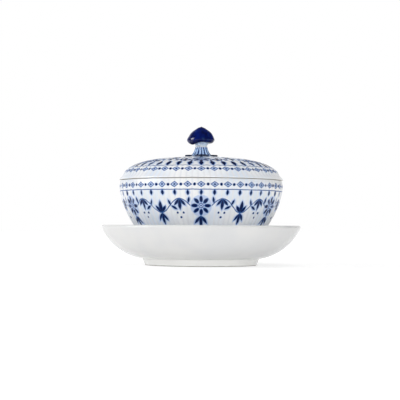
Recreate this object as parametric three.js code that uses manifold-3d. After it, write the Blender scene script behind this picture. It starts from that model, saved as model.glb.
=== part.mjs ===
// A round lidded bowl of fluted porcelain that stands in a deep, plain saucer.
// Millimetres, +Z up. The origin is the middle of the saucer's foot ring, on the table.
// -Y is the front: the knob's brim is lifted there, and its lobe hangs to the left of that.
import * as THREE from 'three';
import { mergeVertices } from 'three/addons/utils/BufferGeometryUtils.js';
import Module from 'manifold-3d';

const wasm = await Module();
wasm.setup();

// Saucer: a thick wall that sweeps up from the foot ring as one round curve
const SAUCER_SWEEP_RADIUS = 40.3;
const SAUCER_SWEEP_CENTRE = { r: 38.45, z: 44.95 };
const SAUCER_SWEEP_FOOT_ANGLE = -82;
const SAUCER_SWEEP_RIM_ANGLE = -25.2;
const SAUCER_WALL = 3.2;
const SAUCER_FOOT_RADIUS = 42;
const SAUCER_FOOT_WIDTH = 3.6;
const SAUCER_FOOT_FLARE = 1.6;
const SAUCER_FOOT_HEIGHT = 4.2;
const SAUCER_UNDERSIDE = 2.8;
const SAUCER_WELL_FLOOR = 6.4;
const SAUCER_WELL_RADIUS = 35.6;
const SAUCER_WELL_DEPTH = 1;

// Bowl, measured up from the bottom of its own foot ring. Its side is a cubic curve from the foot,
// where it leaves towards BOWL_SIDE_FROM, to the belly, which it meets upright from BOWL_SIDE_INTO.
const BOWL_HEIGHT = 56.7;
const BOWL_BELLY = { r: 61.5, z: 53.3 };
const BOWL_SIDE_INTO = { r: 61.5, z: 36.3 };
const BOWL_SIDE_FROM = { r: 47, z: 14.3 };
const BOWL_SIDE_FOOT = { r: 33.2, z: 6.3 };
const BOWL_RIM_RADIUS = 61;
const BOWL_WALL = 3.4;
const BOWL_FLOOR = 6.2;
const BOWL_FLOOR_RADIUS = 25;
const BOWL_FOOT_RADIUS = 30.4;
const BOWL_FOOT_WIDTH = 3.8;
const BOWL_FOOT_FLARE = 0.9;
const BOWL_FOOT_HEIGHT = 4.6;
const BOWL_UNDERSIDE = 2.4;

// Lid, measured up from the seat that rests on the bowl's rim. Its dome follows
// (r / LID_REACH) ^ LID_POWER + (z / LID_RISE) ^ LID_POWER = 1, with z taken from LID_DROP below the seat,
// and its edge flares out to a soft lip. In the middle is a low, flat boss that the knob stands on.
const LID_REACH = 59.9;
const LID_RISE = 19.5;
const LID_POWER = 2.7;
const LID_DROP = 2;
const LID_LIP = 1.9;
const LID_LIP_HEIGHT = 4.5;
const LID_WALL = 3.2;
const LID_FLANGE_RADIUS = 56.9;
const LID_FLANGE_WIDTH = 2.8;
const LID_FLANGE_DEPTH = 6;
const LID_FLANGE_CHAMFER = 0.8;
const LID_BOSS_RADIUS = 13.5;
const LID_BOSS_HEIGHT = 0.5;
const LID_BOSS_FADE = 3;

// Flutes: the fine upright channels on the outside of the bowl and the lid
const FLUTES = 90;
const FLUTE_DEPTH = 0.3;
const FLUTE_FADE = 15;

// Knob: a mushroom-like cap on a fluted stem with a ring of leaves at its foot,
// measured up from the top of the lid
const STEM_FOOT_RADIUS = 8;
const STEM_NECK_RADIUS = 4.55;
const STEM_NECK_HEIGHT = 7;
const STEM_THROAT_HEIGHT = 8.8;
const STEM_TOP_RADIUS = 6.5;
const STEM_HEIGHT = 10.2;
const STEM_FLUTES = 16;
const STEM_FLUTE_DEPTH = 0.35;
const CAP_RADIUS = 10.05;
const CAP_HEIGHT = 12;
const CAP_LEAN = 0.45;
const CAP_BRIM_RADIUS = 7.9;
const CAP_BRIM_DIP = 0.55;
const CAP_BRIM_REACH = 3;
// Where the cap's brim was thumbed up and where it hangs down: by how much, at which turn to the right
// of the front and how far to either side, in degrees
const CAP_BRIM_LIFT = { rise: 0.7, turn: 15, spread: 75 };
const CAP_BRIM_LOBE = { rise: -1.3, turn: -55, spread: 48 };
const LEAVES = 5;
const LEAF_LENGTH = 4.5;
const LEAF_WIDTH = 10.4;
const LEAF_BASE_WIDTH = 5.2;
const LEAF_BULGE = 1.65;
const LEAF_BULGE_REACH = 0.45;
const LEAF_THICKNESS = 1.1;
const LEAF_EDGE = 0.45;

// Rounded edges, the gap that two touching pieces keep, and how finely round forms are cut up
const EDGE = 0.7;
const TOUCH_GAP = 0.3;
const TURN_STEPS = 48;
const KNOB_STEPS = 32;
const STEPS_PER_FLUTE = 2;
const SWEEP_STEPS = 8;
const DOME_STEPS = 10;
const CAP_STEPS = 12;
const LIP_STEPS = 5;

const saucerGlaze = new THREE.MeshStandardMaterial({ color: 0xf1f1f0, roughness: 0.15, metalness: 0 });
const paintedGlaze = new THREE.MeshStandardMaterial({ color: 0xdfe5ee, roughness: 0.12, metalness: 0 });
const stemGlaze = new THREE.MeshStandardMaterial({ color: 0xa9bfe0, roughness: 0.12, metalness: 0 });
const cobaltGlaze = new THREE.MeshStandardMaterial({ color: 0x0a1f66, roughness: 0.08, metalness: 0 });

const point = (r, z) => new THREE.Vector2(r, z);
const radians = THREE.MathUtils.degToRad;
const ramp = (value, from, to) => THREE.MathUtils.smoothstep(value, from, to);

// Points along a round stretch of an outline, between two angles in degrees
function arc(centre, radius, fromAngle, toAngle, steps) {
  return Array.from({ length: steps + 1 }, (_, i) => {
    const angle = radians(fromAngle + ((toAngle - fromAngle) * i) / steps);
    return point(centre.r + radius * Math.cos(angle), centre.z + radius * Math.sin(angle));
  });
}

// Height of the lid's dome above the seat at a radius, with the dome drawn in by an inset
function domeHeight(inset, radius) {
  const share = Math.pow(radius / (LID_REACH - inset), LID_POWER);
  return (LID_RISE - inset) * Math.pow(1 - share, 1 / LID_POWER) - LID_DROP;
}

// Points along the lid's dome from a height above the seat up to the middle, drawn in by an inset
function dome(inset, fromHeight, steps, lip = 0) {
  const reach = LID_REACH - inset;
  const rise = LID_RISE - inset;
  const start = Math.asin(Math.pow((fromHeight + LID_DROP) / rise, LID_POWER / 2));
  return Array.from({ length: steps + 1 }, (_, i) => {
    const angle = start + ((Math.PI / 2 - start) * i) / steps;
    const z = rise * Math.pow(Math.sin(angle), 2 / LID_POWER) - LID_DROP;
    const r = reach * Math.pow(Math.cos(angle), 2 / LID_POWER) + lip * (1 - ramp(z, 0, LID_LIP_HEIGHT));
    return point(i === steps ? 0 : r, z);
  });
}

// Points along a cubic curve between two ends, drawn in towards the axis by an inset
function side(from, leaving, entering, to, inset, steps) {
  const shifted = [from, leaving, entering, to].map((p) => point(p.r - inset, p.z));
  return new THREE.CubicBezierCurve(...shifted).getPoints(steps);
}

// A foot ring's outline from the underside in the middle out to the top of the ring's outer face
function footRing({ radius, width, flare, height, underside }) {
  const inside = radius - width;
  return [
    point(0, underside),
    point(inside - 2 * EDGE, underside),
    point(inside, underside - EDGE),
    point(inside, EDGE),
    point(inside + EDGE, 0),
    point(radius - EDGE, 0),
    point(radius, EDGE),
    point(radius + flare, height),
  ];
}

// A solid turned about the axis from an outline that starts and ends on it
function turned(outline, steps = TURN_STEPS) {
  return new THREE.LatheGeometry(outline, steps);
}

// Cuts upright channels into a turned form. The share of the full depth depends on radius and height.
function flute(form, count, depth, share) {
  const place = form.getAttribute('position');
  const normal = form.getAttribute('normal');
  for (let i = 0; i < place.count; i++) {
    const radius = Math.hypot(place.getX(i), place.getZ(i));
    const turn = Math.atan2(place.getX(i), place.getZ(i));
    const cut = depth * 0.5 * (1 - Math.cos(count * turn)) * share(radius, place.getY(i));
    place.setXYZ(
      i,
      place.getX(i) - cut * normal.getX(i),
      place.getY(i) - cut * normal.getY(i),
      place.getZ(i) - cut * normal.getZ(i),
    );
  }
  return form;
}

// A closed geometry as a manifold solid, and a manifold solid as a geometry
function solidOf(form) {
  const bare = new THREE.BufferGeometry();
  bare.setAttribute('position', form.getAttribute('position'));
  bare.setIndex(form.index);
  const merged = mergeVertices(bare, 1e-4);
  const vertProperties = merged.getAttribute('position').array;
  const triVerts = new Uint32Array(merged.index.array);
  return new wasm.Manifold(new wasm.Mesh({ numProp: 3, vertProperties, triVerts }));
}

function geometryOf(solid) {
  const { vertProperties, triVerts } = solid.getMesh();
  const form = new THREE.BufferGeometry();
  form.setAttribute('position', new THREE.BufferAttribute(vertProperties, 3));
  form.setIndex(new THREE.BufferAttribute(triVerts, 1));
  form.computeVertexNormals();
  return form;
}

// A named piece, stood up from the lathe's Y axis to +Z
function piece(name, form, material) {
  const mesh = new THREE.Mesh(form, material);
  mesh.name = name;
  mesh.rotation.x = Math.PI / 2;
  return mesh;
}

// Saucer: foot ring, outer sweep, round lip, inner sweep, then the step down into the bowl's well
function saucer() {
  const inner = SAUCER_SWEEP_RADIUS - SAUCER_WALL;
  const footAngle = SAUCER_SWEEP_FOOT_ANGLE;
  const rimAngle = SAUCER_SWEEP_RIM_ANGLE;
  const [lipMiddle] = arc(SAUCER_SWEEP_CENTRE, inner + SAUCER_WALL / 2, rimAngle, rimAngle, 1);
  const lipCentre = { r: lipMiddle.x, z: lipMiddle.y };
  const lip = arc(lipCentre, SAUCER_WALL / 2, rimAngle, rimAngle + 180, LIP_STEPS);
  const outline = [
    ...footRing({
      radius: SAUCER_FOOT_RADIUS,
      width: SAUCER_FOOT_WIDTH,
      flare: SAUCER_FOOT_FLARE,
      height: SAUCER_FOOT_HEIGHT,
      underside: SAUCER_UNDERSIDE,
    }),
    ...arc(SAUCER_SWEEP_CENTRE, SAUCER_SWEEP_RADIUS, footAngle, rimAngle, SWEEP_STEPS),
    ...lip.slice(1, -1),
    ...arc(SAUCER_SWEEP_CENTRE, inner, rimAngle, footAngle, SWEEP_STEPS),
    point(SAUCER_WELL_RADIUS + 2 * SAUCER_WELL_DEPTH, SAUCER_WELL_FLOOR + SAUCER_WELL_DEPTH),
    point(SAUCER_WELL_RADIUS, SAUCER_WELL_FLOOR),
    point(0, SAUCER_WELL_FLOOR),
  ];
  return piece('saucer', turned(outline), saucerGlaze);
}

// Bowl: a fluted body joined to its foot ring and hollowed to an even wall
function bowl() {
  const footTop = BOWL_FOOT_RADIUS + BOWL_FOOT_FLARE;
  const body = turned(
    [
      point(0, BOWL_FOOT_HEIGHT),
      point(footTop + EDGE, BOWL_FOOT_HEIGHT),
      ...side(BOWL_SIDE_FOOT, BOWL_SIDE_FROM, BOWL_SIDE_INTO, BOWL_BELLY, 0, SWEEP_STEPS),
      point(BOWL_RIM_RADIUS, BOWL_HEIGHT - EDGE),
      point(BOWL_RIM_RADIUS - EDGE, BOWL_HEIGHT),
      point(0, BOWL_HEIGHT),
    ],
    FLUTES * STEPS_PER_FLUTE,
  );
  const onSide = (r, z) => {
    const fadeIn = ramp(z, BOWL_SIDE_FOOT.z, BOWL_SIDE_FROM.z);
    return fadeIn * (1 - ramp(z, BOWL_BELLY.z, BOWL_HEIGHT - EDGE));
  };
  const foot = turned([
    ...footRing({
      radius: BOWL_FOOT_RADIUS,
      width: BOWL_FOOT_WIDTH,
      flare: BOWL_FOOT_FLARE,
      height: BOWL_FOOT_HEIGHT,
      underside: BOWL_UNDERSIDE,
    }),
    point(footTop, BOWL_FOOT_HEIGHT + EDGE),
    point(0, BOWL_FOOT_HEIGHT + EDGE),
  ]);
  const floorEdge = { r: BOWL_FLOOR_RADIUS + BOWL_WALL, z: BOWL_FLOOR };
  const hollow = turned([
    point(0, BOWL_FLOOR),
    ...side(floorEdge, BOWL_SIDE_FROM, BOWL_SIDE_INTO, BOWL_BELLY, BOWL_WALL, SWEEP_STEPS),
    point(BOWL_BELLY.r - BOWL_WALL, BOWL_HEIGHT + EDGE),
    point(0, BOWL_HEIGHT + EDGE),
  ]);
  const fluted = solidOf(flute(body, FLUTES, FLUTE_DEPTH, onSide));
  const whole = fluted.add(solidOf(foot)).subtract(solidOf(hollow));
  return piece('bowl', geometryOf(whole), paintedGlaze);
}

// Lid: a fluted dome with a flange that drops into the bowl's mouth and keeps it in place
function lid() {
  const outside = dome(0, EDGE, DOME_STEPS, LID_LIP);
  const bossFoot = LID_BOSS_RADIUS + LID_BOSS_FADE;
  const bossTop = LID_RISE - LID_DROP + LID_BOSS_HEIGHT;
  const shell = turned(
    [
      point(0, 0),
      point(outside[0].x - EDGE, 0),
      ...outside.filter((p) => p.x > bossFoot),
      point(bossFoot, domeHeight(0, bossFoot)),
      point(LID_BOSS_RADIUS, bossTop),
      point(0, bossTop),
    ],
    FLUTES * STEPS_PER_FLUTE,
  );
  const onDome = (r, z) => {
    const fadeOut = ramp(r, LID_BOSS_RADIUS, LID_BOSS_RADIUS + FLUTE_FADE);
    return fadeOut * ramp(z, EDGE, LID_LIP_HEIGHT);
  };
  const flange = turned([
    point(0, -LID_FLANGE_DEPTH),
    point(LID_FLANGE_RADIUS - LID_FLANGE_CHAMFER, -LID_FLANGE_DEPTH),
    point(LID_FLANGE_RADIUS, LID_FLANGE_CHAMFER - LID_FLANGE_DEPTH),
    point(LID_FLANGE_RADIUS, EDGE),
    point(0, EDGE),
  ]);
  const mouth = LID_FLANGE_RADIUS - LID_FLANGE_WIDTH;
  const hollow = turned([
    point(0, -2 * LID_FLANGE_DEPTH),
    point(mouth, -2 * LID_FLANGE_DEPTH),
    ...dome(LID_WALL, domeHeight(LID_WALL, mouth), DOME_STEPS),
  ]);
  const fluted = solidOf(flute(shell, FLUTES, FLUTE_DEPTH, onDome));
  const whole = fluted.add(solidOf(flange)).subtract(solidOf(hollow));
  return piece('lid', geometryOf(whole), paintedGlaze);
}

// Knob stem: spreads to its foot on the lid, narrows to an even neck and flares under the cap.
// Between foot and neck its outline is given in shares of the neck's radius and height.
function knobStem() {
  const outside = new THREE.SplineCurve([
    point(STEM_FOOT_RADIUS, EDGE),
    point((STEM_FOOT_RADIUS + STEM_NECK_RADIUS) / 2, STEM_NECK_HEIGHT * 0.36),
    point(STEM_NECK_RADIUS * 1.07, STEM_NECK_HEIGHT * 0.8),
    point(STEM_NECK_RADIUS, STEM_NECK_HEIGHT),
    point(STEM_NECK_RADIUS, STEM_THROAT_HEIGHT),
    point(STEM_TOP_RADIUS, STEM_HEIGHT),
  ]).getPoints(SWEEP_STEPS);
  const form = turned(
    [point(0, 0), point(STEM_FOOT_RADIUS - EDGE / 2, 0), ...outside, point(0, STEM_HEIGHT)],
    STEM_FLUTES * STEPS_PER_FLUTE,
  );
  const onStem = (r, z) => {
    const fadeIn = ramp(z, 0, STEM_NECK_HEIGHT * 0.3);
    return fadeIn * (1 - ramp(z, STEM_NECK_HEIGHT, STEM_HEIGHT));
  };
  return piece('knob_stem', flute(form, STEM_FLUTES, STEM_FLUTE_DEPTH, onStem), stemGlaze);
}

// Height of a smooth swell of the brim at a turn from the front, in degrees
function swell({ rise, turn, spread }, at) {
  const away = Math.min(Math.abs(at - turn) / spread, 1);
  return (rise * (1 + Math.cos(Math.PI * away))) / 2;
}

// Knob cap: a blunt cone with a fat, round, waved brim that rolls under towards the stem.
// Above the brim its outline is given in shares of its radius and height. It leans, so that
// its brim stands out a little further on the left than on the right.
function knobCap() {
  const outside = new THREE.SplineCurve([
    point(CAP_BRIM_RADIUS, -CAP_BRIM_DIP),
    point(CAP_RADIUS * 0.9, CAP_HEIGHT * 0.01),
    point(CAP_RADIUS, CAP_HEIGHT * 0.16),
    point(CAP_RADIUS * 0.9, CAP_HEIGHT * 0.38),
    point(CAP_RADIUS * 0.69, CAP_HEIGHT * 0.63),
    point(CAP_RADIUS * 0.3, CAP_HEIGHT * 0.88),
    point(0, CAP_HEIGHT),
  ]).getPoints(CAP_STEPS);
  const seatRadius = STEM_TOP_RADIUS + EDGE / 2;
  const form = turned([point(0, 0), point(seatRadius, 0), ...outside], KNOB_STEPS);
  const place = form.getAttribute('position');
  for (let i = 0; i < place.count; i++) {
    const radius = Math.hypot(place.getX(i), place.getZ(i));
    const turn = THREE.MathUtils.radToDeg(Math.atan2(place.getX(i), place.getZ(i)));
    const height = place.getY(i);
    const outward = ramp(radius, seatRadius, CAP_BRIM_RADIUS);
    const downward = 1 - ramp(height, -CAP_BRIM_DIP, CAP_BRIM_REACH);
    const wave = swell(CAP_BRIM_LIFT, turn) + swell(CAP_BRIM_LOBE, turn);
    place.setX(i, place.getX(i) - CAP_LEAN * (1 - height / CAP_HEIGHT));
    place.setY(i, height + wave * outward * downward);
  }
  return piece('knob_cap', form, cobaltGlaze);
}

// Knob leaf: a short pointed leaf that lies on the lid with its base against the stem.
// Each edge is one curve whose handle reaches LEAF_BULGE times as far out as the leaf is wide.
function knobLeaf(index) {
  const base = LEAF_BASE_WIDTH / 2;
  const bulge = (LEAF_WIDTH / 2 - LEAF_EDGE) * LEAF_BULGE;
  const tip = LEAF_LENGTH - LEAF_EDGE;
  const outline = new THREE.Shape();
  outline.moveTo(-base, LEAF_EDGE);
  outline.quadraticCurveTo(-bulge, tip * LEAF_BULGE_REACH, 0, tip);
  outline.quadraticCurveTo(bulge, tip * LEAF_BULGE_REACH, base, LEAF_EDGE);
  const form = new THREE.ExtrudeGeometry(outline, {
    depth: LEAF_THICKNESS - 2 * LEAF_EDGE,
    bevelThickness: LEAF_EDGE,
    bevelSize: LEAF_EDGE,
    bevelSegments: 2,
    curveSegments: LIP_STEPS,
  });
  form.translate(0, STEM_FOOT_RADIUS + TOUCH_GAP, LEAF_EDGE);
  const mesh = new THREE.Mesh(form, cobaltGlaze);
  mesh.name = `knob_leaf_${index + 1}`;
  mesh.rotation.z = Math.PI + (2 * Math.PI * index) / LEAVES;
  return mesh;
}

// The stack: bowl in the saucer's well, lid on the bowl, knob on the lid
const knob = new THREE.Group();
knob.position.z = LID_RISE - LID_DROP + LID_BOSS_HEIGHT + TOUCH_GAP;
const cap = knobCap();
cap.position.z = STEM_HEIGHT + TOUCH_GAP;
knob.add(knobStem(), cap);
for (let i = 0; i < LEAVES; i++) knob.add(knobLeaf(i));

const cover = new THREE.Group();
cover.position.z = BOWL_HEIGHT + TOUCH_GAP;
cover.add(lid(), knob);

const vessel = new THREE.Group();
vessel.position.z = SAUCER_WELL_FLOOR + TOUCH_GAP;
vessel.add(bowl(), cover);

const liddedBowl = new THREE.Group();
liddedBowl.add(saucer(), vessel);

export default liddedBowl;
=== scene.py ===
import math

import bmesh
import bpy
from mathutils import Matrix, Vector


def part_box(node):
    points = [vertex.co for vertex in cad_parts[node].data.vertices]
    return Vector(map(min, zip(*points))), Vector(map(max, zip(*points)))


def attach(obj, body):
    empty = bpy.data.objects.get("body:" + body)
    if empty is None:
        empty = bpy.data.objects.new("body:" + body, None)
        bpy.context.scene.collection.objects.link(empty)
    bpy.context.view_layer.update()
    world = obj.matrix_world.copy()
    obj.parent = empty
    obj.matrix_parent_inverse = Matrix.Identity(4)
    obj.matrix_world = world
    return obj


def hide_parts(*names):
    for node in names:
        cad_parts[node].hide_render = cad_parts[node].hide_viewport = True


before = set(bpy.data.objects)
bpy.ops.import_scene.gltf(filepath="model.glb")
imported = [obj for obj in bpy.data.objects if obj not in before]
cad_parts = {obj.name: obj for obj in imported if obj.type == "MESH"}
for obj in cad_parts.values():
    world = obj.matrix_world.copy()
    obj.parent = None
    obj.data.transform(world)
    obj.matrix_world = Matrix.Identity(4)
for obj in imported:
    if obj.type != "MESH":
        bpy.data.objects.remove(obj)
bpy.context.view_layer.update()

# Saucer: a deep, plain dish of white porcelain, pressed over a turning mould and glazed all over
# except under its foot ring. The bowl stands loose in the shallow well in its middle. Sizes of all the
# pieces are in millimetres; those of the stage and the camera are in metres.
MM = 0.001
TURN = 2 * math.pi
saucer_columns = 192
saucer_wall = 3.2
saucer_sweep = 40.3
saucer_sweep_centre = (38.45, 44.95)
saucer_sweep_foot = -82
saucer_sweep_rim = -25.2
saucer_sweep_steps = 36
saucer_lip_steps = 10
saucer_foot = 42
saucer_foot_width = 3.6
saucer_foot_flare = 1.6
saucer_foot_height = 4.2
saucer_foot_bare_and_shadow = (0.7, 0.3)
saucer_underside = 2.8
saucer_well = 35.6
saucer_well_floor = 6.4
saucer_well_depth = 1
soft_edge = 0.7
sharp_corner = math.radians(155)
weld_reach = 0.001


def colour(red, green, blue):
    """A colour as it looks on a screen, from 0 to 255, in the linear values that shaders take."""
    shares = [part / 255 for part in (red, green, blue)]
    return (*[share / 12.92 if share < 0.04 else ((share + 0.055) / 1.055) ** 2.4 for share in shares], 1)


def arc(centre, radius, start, end, steps):
    """Points of an outline, as radius and height, along a round stretch between two angles in degrees."""
    angles = [math.radians(start + (end - start) * step / steps) for step in range(steps + 1)]
    return [(centre[0] + radius * math.cos(turn), centre[1] + radius * math.sin(turn)) for turn in angles]


def softened(outline, radius, steps=4):
    """An outline with its sharp corners rounded off, as sponging and glaze leave them."""
    points = [Vector(point) for point in outline]
    smooth = [points[0]]
    for before, corner, after in zip(points, points[1:], points[2:]):
        back = before - corner
        on = after - corner
        if back.angle(on) > sharp_corner:
            smooth.append(corner)
            continue
        start = corner + back.normalized() * min(radius, back.length / 2)
        end = corner + on.normalized() * min(radius, on.length / 2)
        for step in range(steps + 1):
            share = step / steps
            smooth.append(start.lerp(corner, share).lerp(corner.lerp(end, share), share))
    return smooth + [points[-1]]


def turned(name, outline, columns):
    """A closed form turned about the upright axis, from an outline in millimetres."""
    bpy.ops.object.select_all(action="DESELECT")
    bpy.ops.mesh.primitive_circle_add(vertices=3, radius=MM)
    piece = bpy.context.object
    piece.name = name
    bpy.ops.object.mode_set(mode="EDIT")
    bpy.ops.mesh.select_all(action="SELECT")
    bpy.ops.mesh.merge(type="CENTER")
    bpy.ops.transform.translate(value=(outline[0][0] * MM, 0, outline[0][1] * MM))
    for here, there in zip(outline, outline[1:]):
        step = ((there[0] - here[0]) * MM, 0, (there[1] - here[1]) * MM)
        bpy.ops.mesh.extrude_vertices_move(TRANSFORM_OT_translate={"value": step})
    bpy.ops.mesh.select_all(action="SELECT")
    bpy.ops.mesh.spin(steps=columns, angle=TURN, center=(0, 0, 0), axis=(0, 0, 1))
    bpy.ops.mesh.select_all(action="SELECT")
    bpy.ops.mesh.remove_doubles(threshold=weld_reach * MM)
    bpy.ops.mesh.normals_make_consistent(inside=False)
    bpy.ops.object.mode_set(mode="OBJECT")
    bpy.ops.object.shade_smooth()
    return piece


def foot_ring(radius, width, flare, height, underside):
    """A foot ring's outline from the middle of the underside to the top of the ring's outer face."""
    inside = radius - width
    return [(0, underside), (inside, underside), (inside, 0), (radius, 0), (radius + flare, height)]


class Shade:
    """One output of a shader node. Arithmetic on it adds Math nodes to the same tree."""

    def __init__(self, socket):
        self.socket = socket

    def node(self, kind, settings, sockets, output=0):
        """A new node in the same tree, with its settings and the values or outputs on its sockets."""
        tree = self.socket.id_data
        made = tree.nodes.new(kind)
        for name, value in settings.items():
            setattr(made, name, value)
        for name, value in sockets.items():
            if isinstance(value, Shade):
                tree.links.new(value.socket, made.inputs[name])
            else:
                made.inputs[name].default_value = value
        return Shade(made.outputs[output])

    def beside(self, output):
        """Another output of the same node."""
        return Shade(self.socket.node.outputs[output])

    def math(self, operation, *others):
        return self.node("ShaderNodeMath", {"operation": operation}, dict(enumerate((self, *others))))

    def __add__(self, other):
        return self.math("ADD", other)

    __radd__ = __add__

    def __sub__(self, other):
        return self.math("SUBTRACT", other)

    def __rsub__(self, other):
        return self.node("ShaderNodeMath", {"operation": "SUBTRACT"}, {0: other, 1: self})

    def __mul__(self, other):
        return self.math("MULTIPLY", other)

    __rmul__ = __mul__

    def __truediv__(self, other):
        return self.math("DIVIDE", other)

    def __abs__(self):
        return self.math("ABSOLUTE")

    def least(self, *others):
        """The lowest of several values; of distances to strokes, the distance to the nearest."""
        lowest = self
        for other in others:
            lowest = lowest.math("MINIMUM", other)
        return lowest

    def ramp(self, start, end):
        """From 0 at the start to 1 at the end, eased at both ends."""
        sockets = {"Value": self, "From Min": start, "From Max": end}
        return self.node("ShaderNodeMapRange", {"interpolation_type": "SMOOTHSTEP"}, sockets)

    def mix(self, without, full):
        """A colour between two, with this value as the share of the second."""
        settings = {"data_type": "RGBA"}
        return self.node("ShaderNodeMix", settings, {0: self, 6: without, 7: full}, output=2)

    def vector(self, operation, other=None, **sockets):
        if other is not None:
            sockets[1] = other
        output = 1 if operation in ("LENGTH", "DOT_PRODUCT") else 0
        return self.node("ShaderNodeVectorMath", {"operation": operation}, {0: self, **sockets}, output)

    def noise(self, scale, detail=2):
        sockets = {"Vector": self, "Scale": scale, "Detail": detail}
        return self.node("ShaderNodeTexNoise", {}, sockets)


glaze_index = 1.5
glaze_mirroring = 0.2
glaze_rough = 0.1
mottle_scale = 0.06
mottle_rough = 0.05
bare_rough = 0.5
wave_scale = 0.12
wave_height = 0.3
wave_strength = 0.12
cloud_scale = 0.04
cloud_edge = (0.35, 0.7)
porcelain = colour(233, 233, 232)
porcelain_shade = colour(227, 228, 229)
# Painted light: a whiter glaze on the foot ring, standing in for the low light that falls across the foot.
foot_ring_painted_light = colour(246, 246, 244)
# The unglazed clay of the foot's bottom edge, made darker than the bare clay itself as a painted contact
# shadow where the foot meets the floor.
bare_clay_and_contact_shadow = colour(158, 154, 147)


def glaze(name, mirroring=glaze_mirroring):
    """A new gloss glaze: its material, its shader, and the place on the piece in millimetres."""
    made = bpy.data.materials.new(name)
    made.use_nodes = True
    tree = made.node_tree
    shader = tree.nodes["Principled BSDF"]
    shader.inputs["IOR"].default_value = glaze_index
    shader.inputs["Specular IOR Level"].default_value = mirroring
    at = Shade(tree.nodes.new("ShaderNodeTexCoord").outputs["Object"])
    return made, shader, at.vector("SCALE", Scale=1 / MM)


def finish(shader, place, tint, least_rough, dull=None):
    """Joins a glaze's colour to its shader, with faint waves. Dull is bare, unglazed clay."""
    tree = shader.id_data
    rough = place.noise(mottle_scale) * mottle_rough + least_rough
    if dull:
        rough = rough + dull * bare_rough
    waves = place.noise(wave_scale, detail=1)
    sockets = {"Strength": wave_strength, "Distance": wave_height * MM, "Height": waves}
    tree.links.new(tint.socket, shader.inputs["Base Color"])
    tree.links.new(rough.socket, shader.inputs["Roughness"])
    tree.links.new(place.node("ShaderNodeBump", {}, sockets).socket, shader.inputs["Normal"])


def clouded(place, thin, thick):
    """The white of the glazed body, which is another white where the glaze lies thicker."""
    return place.noise(cloud_scale).ramp(*cloud_edge).mix(thin, thick)


saucer_inner = saucer_sweep - saucer_wall
saucer_middle = saucer_sweep - saucer_wall / 2
saucer_lip = arc(saucer_sweep_centre, saucer_middle, saucer_sweep_rim, saucer_sweep_rim, 1)[0]
saucer_outline = softened(
    [
        *foot_ring(saucer_foot, saucer_foot_width, saucer_foot_flare, saucer_foot_height, saucer_underside),
        *arc(saucer_sweep_centre, saucer_sweep, saucer_sweep_foot, saucer_sweep_rim, saucer_sweep_steps),
        *arc(saucer_lip, saucer_wall / 2, saucer_sweep_rim, saucer_sweep_rim + 180, saucer_lip_steps)[1:-1],
        *arc(saucer_sweep_centre, saucer_inner, saucer_sweep_rim, saucer_sweep_foot, saucer_sweep_steps),
        (saucer_well + 2 * saucer_well_depth, saucer_well_floor + saucer_well_depth),
        (saucer_well, saucer_well_floor),
        (0, saucer_well_floor),
    ],
    soft_edge,
)
saucer = turned("glazed_saucer", saucer_outline, saucer_columns)
white_glaze, shader, place = glaze("white_glaze")
height = place.node("ShaderNodeSeparateXYZ", {}, {"Vector": place}, output=2)
# The foot ring and the wall just above it are mixed towards a whiter glaze: painted light on the foot.
foot_light_share = height.ramp(saucer_foot_height * 2, saucer_foot_height - soft_edge)
# Below this band the foot is bare, rough clay, and its colour there is darkened as a painted contact
# shadow.
bare_foot_and_contact_shadow = height.ramp(*saucer_foot_bare_and_shadow)
white_with_foot_light = foot_light_share.mix(clouded(place, porcelain, porcelain_shade), foot_ring_painted_light)
finish(shader, place, bare_foot_and_contact_shadow.mix(white_with_foot_light, bare_clay_and_contact_shadow), glaze_rough, bare_foot_and_contact_shadow)
saucer.data.materials.append(white_glaze)
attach(saucer, "saucer")
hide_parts("saucer")

# Bowl: thin porcelain pressed in a fluted mould, turned smooth inside, with its own foot ring. Its
# outside is painted in cobalt blue under the glaze; the edge of the rim is wiped bare below the lid.
flutes = 90
flute_columns = 8
flute_depth = 0.3
flute_sharpness = 1.5
bowl_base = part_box("bowl")[0].z / MM
bowl_height = 56.7
bowl_belly = (61.5, 53.3)
bowl_side_into = (61.5, 36.3)
bowl_side_from = (47, 14.3)
bowl_side_foot = (33.2, 6.3)
bowl_side_steps = 44
bowl_rim = 61
bowl_wall = 3.4
bowl_floor = (25, 6.2)
bowl_inside_steps = 30
bowl_foot = 30.4
bowl_foot_width = 3.8
bowl_foot_flare = 0.9
bowl_foot_height = 4.6
bowl_underside = 2.4
seam_edge = 0.35


def bend(corners, inset, steps):
    """Points of an outline along a cubic curve, drawn in towards the axis by an inset."""
    start, leaving, entering, end = [Vector((radius - inset, rise)) for radius, rise in corners]
    points = []
    for step in range(steps + 1):
        share = step / steps
        first = start.lerp(leaving, share).lerp(leaving.lerp(entering, share), share)
        last = leaving.lerp(entering, share).lerp(entering.lerp(end, share), share)
        points.append(first.lerp(last, share))
    return points


def smoothstep(value, start, end):
    """From 0 at the start to 1 at the end, eased at both ends."""
    share = min(max((value - start) / (end - start), 0), 1)
    return share * share * (3 - 2 * share)


def turn_of(vertex):
    """The angle of a point round the axis, from the front and growing to the right."""
    return math.atan2(vertex.co.x, -vertex.co.y)


def faces_out(surface, place):
    """Whether a surface at a place faces away from the upright axis."""
    return place.x * surface.normal.x + place.y * surface.normal.y > 0


def pressed(piece, share, depth, direction="NORMAL"):
    """Moves each point by its share of a depth in millimetres, as a shaped tool or thumb does."""
    group = piece.vertex_groups.new(name="pressed")
    for vertex in piece.data.vertices:
        group.add([vertex.index], share(vertex), "REPLACE")
    press = piece.modifiers.new("pressed", "DISPLACE")
    press.vertex_group = group.name
    press.direction = direction
    press.mid_level = 0
    press.strength = depth * MM
    bpy.ops.object.select_all(action="DESELECT")
    piece.select_set(True)
    bpy.context.view_layer.objects.active = piece
    bpy.ops.object.modifier_apply(modifier=press.name)
    piece.vertex_groups.clear()


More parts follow.
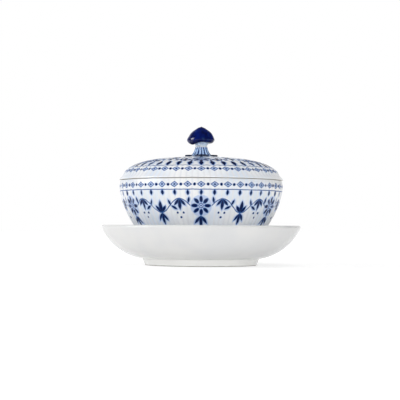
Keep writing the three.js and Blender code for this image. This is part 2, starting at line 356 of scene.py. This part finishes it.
def groove(vertex, count):
    """A row of narrow grooves between wider, round ribs: 1 in the middle of a groove."""
    return (0.5 - 0.5 * math.cos(count * turn_of(vertex))) ** flute_sharpness


def bowl_groove(vertex):
    """The bowl's flutes, which fade out towards the foot and the rim and are only outside."""
    rise = vertex.co.z / MM - bowl_base
    if not faces_out(vertex, vertex.co):
        return 0
    fade_in = smoothstep(rise, bowl_side_foot[1], bowl_side_from[1])
    fade_out = 1 - smoothstep(rise, bowl_belly[1], bowl_height - soft_edge)
    return groove(vertex, flutes) * fade_in * fade_out


bowl_floor_edge = (bowl_floor[0] + bowl_wall, bowl_floor[1])
bowl_inside_corners = (bowl_floor_edge, bowl_side_from, bowl_side_into, bowl_belly)
bowl_inside = bend(bowl_inside_corners, bowl_wall, bowl_inside_steps)
bowl_outline = softened(
    [
        *foot_ring(bowl_foot, bowl_foot_width, bowl_foot_flare, bowl_foot_height, bowl_underside),
        *bend((bowl_side_foot, bowl_side_from, bowl_side_into, bowl_belly), 0, bowl_side_steps),
        (bowl_rim, bowl_height - seam_edge),
        (bowl_rim - seam_edge, bowl_height),
        (bowl_belly[0] - bowl_wall, bowl_height),
        *reversed(bowl_inside),
        (0, bowl_floor[1]),
    ],
    soft_edge,
)
bowl_outline = [(radius, rise + bowl_base) for radius, rise in bowl_outline]
bowl = turned("painted_bowl", bowl_outline, flutes * flute_columns)
pressed(bowl, bowl_groove, -flute_depth)

paint_dark = colour(2, 22, 72)
paint_blue = colour(48, 94, 160)
paint_wash = colour(166, 192, 234)
# The white under the painting is brighter than the saucer's white of the same porcelain: painted light, so
# the bowl and lid look more brightly lit.
ware_white_with_painted_light = colour(243, 244, 245)
blue_white = colour(226, 234, 245)
groove_tint = colour(234, 236, 240)
groove_edge = (-0.2, -1)
seat_clay = colour(230, 227, 221)
seat_edge = (0.3, 0.1)
painted_rough = 0.09
brush_wobble = 0.8
brush_wobble_scale = 0.22
stroke_edge = 0.16
ink_grain = 0.5
ink_grain_scale = 0.5
ink_load = (0.15, -0.35)
wash_edge = 0.5
wash_share = 0.65
wash_spread = 0.8
border_repeats = 40
border_lozenge = (2.7, 1.9)
border_lozenge_slope = 0.8
border_eye_inset = 0.42
border_dot = 1.1
border_line = 0.32
border_foot = 3.6
vine_repeats = 6
vine_line = 0.34
bloom_rise = 5
bloom_tails_drop = 2.2
bloom_petals = 8
bloom_petal = (4.6, 2.5, 1.35)
bloom_ring = 1.5
bloom_eye = 0.6
bloom_bed = 7.6
berry = 0.8
berry_places = ((-2.2, 0), (2.2, 0), (0, 3.2))
# Each leaf of a sprig by its direction in degrees, its length and its width
bud_leaves = ((-90, 8.8, 3.1), (-130, 6.7, 2.5), (-50, 6.7, 2.5))
bud_tails = ((90, 9, 2.4), (58, 7, 2), (122, 7, 2))
bloom_tails = ((90, 9, 2.6), (52, 7.4, 2.2), (128, 7.4, 2.2))
fan_leaves = ((90, 8.2, 2.7), (50, 6.6, 2.2), (130, 6.6, 2.2))
lone_leaf = (-100, 5, 1.8)
paired_leaves = ((150, 5.4, 1.9), (-66, 5, 1.8))


def joined(x, y):
    """Two values as a flat place to draw at."""
    return x.node("ShaderNodeCombineXYZ", {}, {"X": x, "Y": y})


def split(at):
    """The first two values of a place."""
    x = at.node("ShaderNodeSeparateXYZ", {}, {"Vector": at})
    return x, x.beside(1)


def leaf(at, turn, length, width):
    """Distance to a brush stroke that is pointed at both ends and starts at a place."""
    middle = (length / 2 * math.cos(turn), length / 2 * math.sin(turn), 0)
    size = (length / 2, width / 2, 1)
    sockets = {"Vector": at, "Location": middle, "Rotation": (0, 0, turn), "Scale": size}
    along, across = split(at.node("ShaderNodeMapping", {"vector_type": "TEXTURE"}, sockets))
    return (abs(across) + along * along - 1) * (width / 2)


def dot(at, radius):
    """Distance to a round spot about a place."""
    return at.vector("LENGTH") - radius


def nearest(angle, repeats):
    """Share of the way from the middle of the nearest repeat to its end, from -1 to 1."""
    return (angle * (repeats / TURN) + 0.5).math("FRACT") * 2 - 1


def border(angle, radius, depth, drop_size):
    """Lozenges with a dark eye and dots between them, over a line hung with drops: strokes and wash."""
    half = radius * (math.pi / border_repeats)
    x = abs(nearest(angle, border_repeats)) * half
    y = abs(depth)
    wide, high = border_lozenge
    lozenge = (x / wide + y / high - 1) * (high * border_lozenge_slope)
    eye = lozenge + high * border_eye_inset
    line = abs(depth - border_foot) - border_line
    drop = leaf(joined(x, depth - border_foot), math.radians(90), *drop_size)
    between = dot(joined(half - x, y), border_dot)
    strokes = (abs(lozenge) - border_line).least(eye, between, line, drop)
    return strokes, lozenge.least(drop - wash_spread)


def bloom(at):
    """A blossom of round petals about a ring: strokes and wash."""
    x, y = split(at)
    reach = at.vector("LENGTH")
    turn = nearest(y.math("ARCTAN2", x), bloom_petals) * (math.pi / bloom_petals)
    folded = joined(reach * turn.math("COSINE"), reach * turn.math("SINE"))
    middle, length, width = bloom_petal
    sockets = {"Vector": folded, "Location": (middle, 0, 0), "Scale": (length, width, 1)}
    petal = folded.node("ShaderNodeMapping", {"vector_type": "TEXTURE"}, sockets)
    petals = dot(petal, 1) * width
    ring = abs(reach - bloom_ring) - border_line
    return petals.least(ring, reach - bloom_eye), reach - bloom_bed


def sprig(at, *leaves):
    """Distance to leaves that grow from one place, each given by its direction, length and width."""
    strokes = [leaf(at, math.radians(turn), length, width) for turn, length, width in leaves]
    return strokes[0].least(*strokes[1:])


def vine(angle, radius, depth, swing):
    """A running vine about depth 0 with blossoms, buds, leaves and berries: strokes and wash."""
    half = radius * (math.pi / vine_repeats)
    share = abs(nearest(angle, vine_repeats))

    def spot(place, deep):
        """A place to draw at, by its share of the way to the repeat's end and its depth."""
        return joined((share - place) * half, depth - deep)

    phase = share * TURN
    slope = phase.math("SINE") * (swing * TURN) / half
    steep = (slope * slope + 1).math("SQRT")
    petals, bed = bloom(spot(0, swing - bloom_rise))
    line = abs(depth - phase.math("COSINE") * swing) / steep - vine_line
    stem = line.math("MAXIMUM", 0 - bed)
    leaves = sprig(spot(1, swing), *bud_leaves, *bud_tails).least(
        sprig(spot(0, swing + bloom_tails_drop), *bloom_tails),
        sprig(spot(0.5, -swing), *fan_leaves),
        sprig(spot(0.3, -swing * 0.3), lone_leaf),
        sprig(spot(0.72, 0), *paired_leaves),
    )
    berries = [
        dot(spot(0.5, swing + deep).vector("SUBTRACT", (side, 0, 0)), berry) for side, deep in berry_places
    ]
    return stem.least(petals, leaves, *berries), bed.least(leaves - wash_spread)


def unsteady(place, wobble, scale, detail):
    """A place moved about by up to half a wobble, as a brush held in the hand meets it."""
    sockets = {"Vector": place, "Scale": scale, "Detail": detail}
    shake = place.node("ShaderNodeTexNoise", {}, sockets, output=1).vector("SUBTRACT", (0.5, 0.5, 0.5))
    return place.vector("ADD", shake.vector("SCALE", Scale=wobble))


def painted(name, depth_of, border_depth, drop_size, vine_depth, swing, bare, extra):
    """A glaze over the painting. Depth is the distance from the rim; bare is the wiped edge, by height."""
    made, shader, place = glaze(name)
    x, y = split(unsteady(place, brush_wobble, brush_wobble_scale, detail=3))
    height = x.beside(2)
    angle = x.math("ARCTAN2", 0 - y)
    radius = (x * x + y * y).math("SQRT")
    depth = depth_of(radius, height)
    border_strokes, border_wash = border(angle, radius, depth - border_depth, drop_size)
    vine_strokes, vine_wash = vine(angle, radius, depth - vine_depth, swing)
    extra_strokes = extra(angle, radius, depth)
    strokes = border_strokes.least(vine_strokes, extra_strokes)
    wash = border_wash.least(vine_wash, extra_strokes - wash_spread)
    ribs = (angle * flutes).math("COSINE")
    # This white is the glazed body with painted light: brighter than the saucer's.
    body = ribs.ramp(*groove_edge).mix(clouded(place, ware_white_with_painted_light, blue_white), groove_tint)
    washed = (wash.ramp(wash_edge, -wash_edge) * wash_share).mix(body, paint_wash)
    loaded = strokes + place.noise(ink_grain_scale, detail=3) * ink_grain
    ink = loaded.ramp(*ink_load).mix(paint_blue, paint_dark)
    drawn = strokes.ramp(stroke_edge, -stroke_edge).mix(washed, ink)
    seat = height.ramp(*bare)
    finish(shader, place, seat.mix(drawn, seat_clay), painted_rough, seat)
    return made


def covered(piece, inside, outside, is_outside):
    """Gives a piece one glaze inside and another on the faces that are outside."""
    piece.data.materials.append(inside)
    piece.data.materials.append(outside)
    for face in piece.data.polygons:
        face.material_index = int(is_outside(face))


rim_height = bowl_base + bowl_height
foot_line_depth = 49
bowl_paint = painted(
    "painted_bowl_glaze",
    lambda radius, height: rim_height - height,
    border_depth=4.4,
    drop_size=(4.2, 2.3),
    vine_depth=19.5,
    swing=5,
    bare=[rim_height - below for below in seat_edge],
    extra=lambda angle, radius, depth: abs(depth - foot_line_depth) - vine_line,
)
covered(bowl, white_glaze, bowl_paint, lambda face: faces_out(face, face.center))
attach(bowl, "bowl")
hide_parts("bowl")

# Lid: a low fluted dome of the same porcelain with a soft flared lip and a low boss for the knob. A flange
# turned on its inside drops into the bowl's mouth; the lower edge of the lip is wiped bare of glaze.
lid_reach = 59.9
lid_rise = 19.5
lid_power = 2.7
lid_drop = 2
lid_outside_steps = 50
lid_inside_steps = 30
lid_lip = 1.9
lid_lip_height = 4.5
lid_wall = 3.2
lid_flange = 56.9
lid_flange_width = 2.8
lid_flange_depth = 6
lid_flange_chamfer = 0.8
lid_boss = 13.5
lid_boss_height = 0.5
lid_boss_fade = 3
lid_groove_fade = 15
lid_upward = 0.01
lid_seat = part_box("lid")[0].z / MM + lid_flange_depth


def dome(inset, start, steps, lip=0):
    """Points along the lid's dome, drawn in by an inset, from a start angle up to the middle."""
    points = []
    for step in range(steps + 1):
        turn = start + (math.pi / 2 - start) * step / steps
        rise = (lid_rise - inset) * math.sin(turn) ** (2 / lid_power) - lid_drop
        reach = (lid_reach - inset) * max(math.cos(turn), 0) ** (2 / lid_power)
        points.append((reach + lip * (1 - smoothstep(rise, 0, lid_lip_height)), rise))
    points[-1] = (0, lid_rise - inset - lid_drop)
    return points


def lid_groove(vertex):
    """The lid's flutes, which fade out towards the lip and the boss and are only outside."""
    rise = vertex.co.z / MM - lid_seat
    if vertex.normal.z < 0 or rise < 0:
        return 0
    radius = math.hypot(vertex.co.x, vertex.co.y) / MM
    fade_out = smoothstep(radius, lid_boss, lid_boss + lid_groove_fade)
    return groove(vertex, flutes) * fade_out * smoothstep(rise, soft_edge, lid_lip_height)


lid_mouth = lid_flange - lid_flange_width
inner_start = math.acos((lid_mouth / (lid_reach - lid_wall)) ** (lid_power / 2))
outer_start = math.asin(((seam_edge + lid_drop) / lid_rise) ** (lid_power / 2))
lid_boss_top = lid_rise - lid_drop + lid_boss_height
lid_dome = dome(0, outer_start, lid_outside_steps, lid_lip)
lid_outside = [point for point in lid_dome if point[0] > lid_boss + lid_boss_fade]
lid_outline = softened(
    [
        *reversed(dome(lid_wall, inner_start, lid_inside_steps)),
        (lid_mouth, -lid_flange_depth),
        (lid_flange - lid_flange_chamfer, -lid_flange_depth),
        (lid_flange, lid_flange_chamfer - lid_flange_depth),
        (lid_flange, 0),
        (lid_outside[0][0] - seam_edge, 0),
        *lid_outside,
        (lid_boss, lid_boss_top),
        (0, lid_boss_top),
    ],
    soft_edge,
)
lid_outline = [(radius, rise + lid_seat) for radius, rise in lid_outline]
lid = turned("painted_lid", lid_outline, flutes * flute_columns)
pressed(lid, lid_groove, -flute_depth)


def from_lip(radius, height):
    """Distance from the lid's lip, which is close to the length along the dome."""
    inward = lid_reach + lid_lip - radius
    upward = height - lid_seat
    return (inward * inward + upward * upward).math("SQRT")


crown_repeats = 20
crown_ring = 14
crown_leaf = (7.5, 2.9)


def crown(angle, radius, depth):
    """A ring of small leaves that point outwards round the knob's foot."""
    across = nearest(angle, crown_repeats) * (radius * (math.pi / crown_repeats))
    ring = abs(radius - crown_ring) - vine_line
    return leaf(joined(across, radius - crown_ring), math.radians(90), *crown_leaf).least(ring)


lid_paint = painted(
    "painted_lid_glaze",
    from_lip,
    border_depth=8,
    drop_size=(7.4, 3.6),
    vine_depth=24,
    swing=5,
    bare=[lid_seat + above for above in seat_edge],
    extra=crown,
)


def on_lid_outside(face):
    """Whether a face of the lid is painted: it looks up, or outwards above the seat."""
    return face.normal.z > lid_upward or (face.center.z > lid_seat * MM and faces_out(face, face.center))


covered(lid, white_glaze, lid_paint, on_lid_outside)
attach(lid, "lid")
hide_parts("lid")

# Knob stem: a short stem of the same clay, moulded on its own and joined to the lid with slip. It spreads
# to a foot, narrows to a neck and opens under the cap, and has blue brush strokes up its sides.
stem_columns = 192
stem_flutes = 16
stem_flute_depth = 0.35
stem_foot = 8
stem_neck = 4.55
stem_neck_height = 7
stem_throat_height = 8.8
stem_top = 6.5
stem_height = 10.2
stem_side_steps = 10
stem_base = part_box("knob_stem")[0].z / MM
# Above the neck the stem's white turns pale blue-grey: partly a pale tint in the glaze, partly painted
# shade under the cap.
stem_throat_tint_and_shade = colour(210, 225, 240)
stem_wash = colour(160, 204, 255)
stem_wash_share = 0.75
stem_stroke = colour(10, 42, 110)
stem_stroke_share = 0.95
stem_stroke_edge = (0.5, 0.3)
stem_band_top = (stem_neck_height + 0.4, stem_neck_height - 0.8)
stem_band_foot = (-0.5, 0.6)
stem_wobble = 1.6
stem_wobble_scale = 0.35


def spline(corners, steps):
    """Points of an outline along a smooth curve through its corners."""
    corners = [Vector(corner) for corner in corners]
    padded = [2 * corners[0] - corners[1], *corners, 2 * corners[-1] - corners[-2]]
    points = []
    for before, start, end, after in zip(padded, padded[1:], padded[2:], padded[3:]):
        for step in range(steps):
            share = step / steps
            straight = start.lerp(end, share)
            leaving = (end - before) / 2 - (end - start)
            entering = (after - start) / 2 - (end - start)
            rest = 1 - share
            points.append(straight + share * rest * rest * leaving - share * share * rest * entering)
    return points + [corners[-1]]


def stem_groove(vertex):
    """The stem's flutes, which fade out towards its foot and its top."""
    rise = vertex.co.z / MM - stem_base
    fade_out = 1 - smoothstep(rise, stem_neck_height, stem_height)
    return groove(vertex, stem_flutes) * smoothstep(rise, 0, stem_neck_height * 0.3) * fade_out


stem_side = spline(
    [
        (stem_foot, soft_edge),
        ((stem_foot + stem_neck) / 2, stem_neck_height * 0.36),
        (stem_neck * 1.07, stem_neck_height * 0.8),
        (stem_neck, stem_neck_height),
        (stem_neck, stem_throat_height),
        (stem_top, stem_height),
    ],
    stem_side_steps,
)
stem_sole = stem_foot - soft_edge / 2
stem_outline = softened([(0, 0), (stem_sole, 0), *stem_side, (0, stem_height)], soft_edge / 2)
stem = turned("brushed_stem", [(radius, rise + stem_base) for radius, rise in stem_outline], stem_columns)
pressed(stem, stem_groove, -stem_flute_depth)

stem_glaze, shader, place = glaze("stem_glaze")
x, y = split(unsteady(place, stem_wobble, stem_wobble_scale, detail=2))
rise = x.beside(2) - stem_base
angle = x.math("ARCTAN2", 0 - y)
band = rise.ramp(*stem_band_top) * rise.ramp(*stem_band_foot)
stroke = abs(nearest(angle, stem_flutes)).ramp(*stem_stroke_edge) * band
stem_white = clouded(place, porcelain, porcelain_shade)
# The pale blue-grey above the neck is partly the glaze's tint and partly painted shade under the cap; the
# cap's underside takes it too.
throat_tint_and_shade = rise.ramp(stem_neck_height, stem_throat_height).mix(stem_white, stem_throat_tint_and_shade)
washed = (band * stem_wash_share).mix(throat_tint_and_shade, stem_wash)
finish(shader, place, (stroke * stem_stroke_share).mix(washed, stem_stroke), glaze_rough)
stem.data.materials.append(stem_glaze)
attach(stem, "lid")
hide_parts("knob_stem")

# Knob cap: a solid mushroom-shaped cap, thumbed into a wave along its brim, dipped askew in cobalt blue and
# joined to the stem with slip. The blue runs in under its brim, farthest at the left; the rest of its
# underside is pale.
cap_columns = 128
cap_radius = 10.25
cap_height = 12
cap_side_steps = 10
cap_lean = 0.55
cap_brim = 7.9
cap_brim_dip = 0.55
cap_brim_reach = 3
# Swells of the brim: their rise, and their turn from the front and spread in degrees
cap_brim_lift = (0.7, 15, 75)
cap_brim_lobe = (-1.3, -48, 52)
cap_seat = stem_top + soft_edge / 2
cap_dip_aside = 2
cap_dip_reach = 5
slip_gap = 0.3
cap_base = stem_base + stem_height + slip_gap
thumb_size = 6
thumb_depth = 0.5
thumb_rest = 0.1
cobalt_deep = colour(3, 8, 56)
cobalt_bright = colour(6, 28, 108)
cobalt_pool_scale = 0.16
cobalt_pool_edge = (0.3, 0.7)
cobalt_thin = colour(36, 74, 136)
cobalt_thin_scale = 0.3
cobalt_thin_edge = (0.54, 0.76)
cobalt_thin_share = 0.5
cobalt_mirroring = 0.25
cobalt_rough = 0.06


def swell(turn, rise, middle, spread):
    """Height of a smooth swell of the brim at a turn from the front; turns are in degrees."""
    away = min(abs(math.degrees(turn) - middle) / spread, 1)
    return rise * (1 + math.cos(math.pi * away)) / 2


def cap_wave(vertex):
    """How far the brim is lifted at a point: up in front, with a lobe that hangs at the front left."""
    radius = math.hypot(vertex.co.x, vertex.co.y) / MM
    brim = smoothstep(radius, cap_seat, cap_brim)
    brim *= 1 - smoothstep(vertex.co.z / MM - cap_base, -cap_brim_dip, cap_brim_reach)
    turn = turn_of(vertex)
    return brim * (swell(turn, *cap_brim_lift) + swell(turn, *cap_brim_lobe))


cap_side = spline(
    [
        (cap_brim, -cap_brim_dip),
        (cap_radius * 0.9, cap_height * 0.01),
        (cap_radius, cap_height * 0.16),
        (cap_radius * 0.9, cap_height * 0.38),
        (cap_radius * 0.69, cap_height * 0.63),
        (cap_radius * 0.3, cap_height * 0.88),
        (0, cap_height),
    ],
    cap_side_steps,
)
cap_outline = softened([(0, 0), (cap_seat, 0), *cap_side], soft_edge)
cap = turned("cobalt_cap", [(radius, rise + cap_base) for radius, rise in cap_outline], cap_columns)
cap_rise = cap_brim_lift[0]
cap_fall = cap_brim_lobe[0]
pressed(cap, lambda vertex: max(cap_wave(vertex) / cap_rise, 0), cap_rise, "Z")
pressed(cap, lambda vertex: max(cap_wave(vertex) / cap_fall, 0), cap_fall, "Z")
pressed(cap, lambda vertex: 1 - (vertex.co.z / MM - cap_base) / cap_height, -cap_lean, "X")
thumb_marks = bpy.data.textures.new("thumb_marks", "CLOUDS")
thumb_marks.noise_scale = thumb_size * MM
thumbed = cap.modifiers.new("thumbed", "DISPLACE")
thumbed.texture = thumb_marks
thumbed.strength = thumb_depth * MM
thumbed.mid_level = thumb_rest
bpy.ops.object.modifier_apply(modifier=thumbed.name)

cobalt_glaze, shader, place = glaze("cobalt_glaze", mirroring=cobalt_mirroring)
pool = place.noise(cobalt_pool_scale, detail=3).ramp(*cobalt_pool_edge).mix(cobalt_deep, cobalt_bright)
thin = place.noise(cobalt_thin_scale, detail=4).ramp(*cobalt_thin_edge) * cobalt_thin_share
finish(shader, place, thin.mix(pool, cobalt_thin), cobalt_rough)


def is_dipped(face):
    """Whether a face of the cap is blue: it looks up, or lies outside a round patch right of the middle."""
    from_dip = math.hypot(face.center.x - cap_dip_aside * MM, face.center.y)
    return face.normal.z > 0 or from_dip > cap_dip_reach * MM


# The cap's underside keeps the stem's glaze, with its pale blue-grey painted shade.
covered(cap, stem_glaze, cobalt_glaze, is_dipped)
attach(cap, "lid")
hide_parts("knob_cap")

# Knob leaves: five short pointed leaves, pressed in a mould and laid round the stem's foot with slip, then
# dipped in dark cobalt. One is shaped, and the others are copies turned round the axis.
leaves = 5
leaf_rows = 8
leaf_columns = 12
leaf_low, leaf_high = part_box("knob_leaf_1")
leaf_half = leaf_high.x
leaf_length = leaf_high.y - leaf_low.y
leaf_thick = leaf_high.z - leaf_low.z
leaf_edge = 0.7 * leaf_thick
leaf_crown = leaf_thick - leaf_edge
leaf_rib = 0.1 * leaf_thick
leaf_root_width = 0.55
leaf_swell_width = 1.65
leaf_swell_along = 0.45
leaf_tip_width = 0.03
leaf_tip_thinning = 0.7
leaf_dark = colour(6, 10, 34)
leaf_light = colour(16, 28, 70)
leaf_grain_scale = 0.4
leaf_grain_edge = (0.3, 0.75)
leaf_mirroring = 0.05
leaf_rough = 0.35


def pick(piece, test):
    """Selects the points of the mesh being edited that pass a test."""
    mesh = bmesh.from_edit_mesh(piece.data)
    for vertex in mesh.verts:
        vertex.select = test(vertex)
    mesh.select_flush_mode()
    bmesh.update_edit_mesh(piece.data)


bpy.ops.object.select_all(action="DESELECT")
bpy.ops.mesh.primitive_grid_add(x_subdivisions=leaf_columns, y_subdivisions=leaf_rows, size=2 * leaf_half)
first_leaf = bpy.context.object
bpy.ops.object.mode_set(mode="EDIT")
bpy.ops.mesh.select_mode(type="VERT")
for column in range(leaf_columns + 1):
    across = 2 * column / leaf_columns - 1
    lift = leaf_crown * (1 - across * across) - (leaf_rib if across == 0 else 0)
    pick(first_leaf, lambda vertex: vertex.index % (leaf_columns + 1) == column)
    bpy.ops.transform.translate(value=(0, 0, lift))
for row in range(leaf_rows + 1):
    share = 1 - row / leaf_rows
    width = (1 - share) ** 2 * leaf_root_width + 2 * share * (1 - share) * leaf_swell_width
    along = 2 * share * (1 - share) * leaf_swell_along + share * share
    level = leaf_half * (2 * row / leaf_rows - 1)
    pick(first_leaf, lambda vertex: vertex.index // (leaf_columns + 1) == row)
    narrowed = (max(width, leaf_tip_width), 1, 1 - leaf_tip_thinning * share)
    bpy.ops.transform.resize(value=narrowed, center_override=(0, 0, 0))
    bpy.ops.transform.translate(value=(0, leaf_high.y - along * leaf_length - level, 0))
bpy.ops.mesh.select_all(action="SELECT")
bpy.ops.transform.translate(value=(0, 0, leaf_low.z + leaf_edge))
bpy.ops.mesh.extrude_region_move(TRANSFORM_OT_translate={"value": (0, 0, -leaf_edge)})
bpy.ops.transform.resize(value=(1, 1, 0), center_override=(0, 0, leaf_low.z))
bpy.ops.mesh.select_all(action="SELECT")
bpy.ops.mesh.normals_make_consistent(inside=False)
bpy.ops.object.mode_set(mode="OBJECT")
rounding = first_leaf.modifiers.new("rounding", "SUBSURF")
rounding.levels = 1
rounding.render_levels = 1
bpy.ops.object.modifier_apply(modifier=rounding.name)
bpy.ops.object.shade_smooth()

leaf_glaze, shader, place = glaze("leaf_glaze", mirroring=leaf_mirroring)
leaf_tint = place.noise(leaf_grain_scale, detail=3).ramp(*leaf_grain_edge).mix(leaf_dark, leaf_light)
finish(shader, place, leaf_tint, leaf_rough)
first_leaf.data.materials.append(leaf_glaze)
for number in range(leaves):
    bpy.ops.object.select_all(action="DESELECT")
    first_leaf.select_set(True)
    bpy.context.view_layer.objects.active = first_leaf
    if number:
        bpy.ops.object.duplicate(linked=False)
        bpy.context.object.rotation_euler.z = TURN * number / leaves
        bpy.ops.object.transform_apply(location=False, rotation=True, scale=False)
    laid_leaf = bpy.context.object
    laid_leaf.name = f"cobalt_leaf_{number + 1}"
    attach(laid_leaf, "lid")
    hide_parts(f"knob_leaf_{number + 1}")

# Stage: a plain white floor that fades into a white background and keeps a soft shadow. The room gives soft
# light from all sides, most from low in front and from overhead, and a window lamp stands at the left.
floor_size = 8
floor_glow = 0.42
floor_bounce = 0.08
floor_near_light = 0.64
floor_far_light = 0.9
floor_fade = (0.1, 0.5)
floor_paper = colour(248, 248, 248)
room_light = 0.22
overhead_light = 1
front_light = 0.13
low_front_light = 4.5
backdrop_light = 0.9
front_side = Vector((0.2, -0.97, 0.1)).normalized()
front_half = (-0.4, 1)
front_middle = (0.3, 1)
back_middle = (-0.4, -0.95)
low_band = (0.3, 0.05)
backdrop_band = (0.8, 0.3)
overhead_band = (0.7, 1)
ceiling_in_gloss = 0.08
front_in_gloss = 0.2
window_in_gloss = 10
window_place = Vector((-1.2, -0.2, 0.52))
window_aim = Vector((0, 0, 0.05))
window_edge = (0.93, 0.955)
window_watts = 5
window_width = 0.25
window_height = 0.7


def ray_kinds(tree):
    """1 for the rays that look straight, from the camera or through glass, and 1 for the mirrored ones."""
    rays = tree.nodes.new("ShaderNodeLightPath").outputs
    return Shade(rays["Is Camera Ray"]) + Shade(rays["Is Transmission Ray"]), Shade(rays["Is Glossy Ray"])


bpy.ops.object.select_all(action="DESELECT")
bpy.ops.mesh.primitive_plane_add(size=floor_size)
floor = bpy.context.object
floor.name = "floor"
floor_white = bpy.data.materials.new("floor_white")
floor_white.use_nodes = True
tree = floor_white.node_tree
tree.nodes.remove(tree.nodes["Principled BSDF"])
straight, gloss = ray_kinds(tree)
away = Shade(tree.nodes.new("ShaderNodeTexCoord").outputs["Object"]).vector("LENGTH")
near = (floor_near_light, floor_near_light, floor_near_light, 1)
far = (floor_far_light, floor_far_light, floor_far_light, 1)
glow_sockets = {"Color": away.ramp(*floor_fade).mix(near, far), "Strength": 1 / floor_glow}
glow = away.node("ShaderNodeEmission", {}, glow_sockets)
paper = away.node("ShaderNodeBsdfDiffuse", {}, {"Color": floor_paper})
shown = (straight + gloss) * (floor_glow - floor_bounce) + floor_bounce
surface = away.node("ShaderNodeMixShader", {}, {0: shown, 1: paper, 2: glow})
tree.links.new(surface.socket, tree.nodes["Material Output"].inputs["Surface"])
floor.data.materials.append(floor_white)

room = bpy.data.worlds.new("room")
room.use_nodes = True
bpy.context.scene.world = room
tree = room.node_tree
straight, gloss = ray_kinds(tree)
direction = Shade(tree.nodes.new("ShaderNodeTexCoord").outputs["Generated"])
up = direction.node("ShaderNodeSeparateXYZ", {}, {"Vector": direction}, output=2)
facing = direction.vector("DOT_PRODUCT", front_side)
low_front = facing.ramp(*front_middle) * up.ramp(*low_band)
backdrop = facing.ramp(*back_middle) * up.ramp(*backdrop_band)
soft = facing.ramp(*front_half) * front_light + low_front * low_front_light + room_light
soft = backdrop * backdrop_light + up.ramp(*overhead_band) * overhead_light + soft
window_light = direction.vector("DOT_PRODUCT", window_place.normalized()).ramp(*window_edge)
in_gloss = low_front * front_in_gloss + window_light * window_in_gloss
in_gloss = backdrop * (1 - ceiling_in_gloss) + in_gloss + ceiling_in_gloss
strength = straight + (1 - straight) * (gloss * in_gloss + (1 - gloss) * soft)
tree.links.new(strength.socket, tree.nodes["Background"].inputs["Strength"])
tree.nodes["Background"].inputs["Color"].default_value = (1, 1, 1, 1)

bpy.ops.object.light_add(type="AREA", location=window_place)
window = bpy.context.object
window.name = "window_lamp"
window.data.shape = "RECTANGLE"
window.data.energy = window_watts
window.data.size = window_width
window.data.size_y = window_height
window.rotation_euler = (window_aim - window.location).to_track_quat("-Z", "Y").to_euler()

# Camera: level with the saucer's rim and almost a metre away, tilted up a little, as for the photograph.
# It stands a hair to the left of the axis and leans by a third of a degree.
camera_distance = 0.9
camera_height = 0.0292
camera_aside = -0.0008
camera_tilt = math.radians(1.266)
camera_roll = 0.0055
camera_sensor = 36
camera_lens = 107.3
camera_reach = 30
bpy.ops.object.camera_add(
    location=(camera_aside, -camera_distance, camera_height), rotation=(math.pi / 2 + camera_tilt, 0, 0)
)
camera = bpy.context.object
camera.rotation_euler.rotate_axis("Z", camera_roll)
camera.data.sensor_width = camera_sensor
camera.data.lens = camera_lens
camera.data.clip_end = camera_reach
bpy.context.scene.camera = camera
bpy.context.scene.view_settings.view_transform = "Standard"
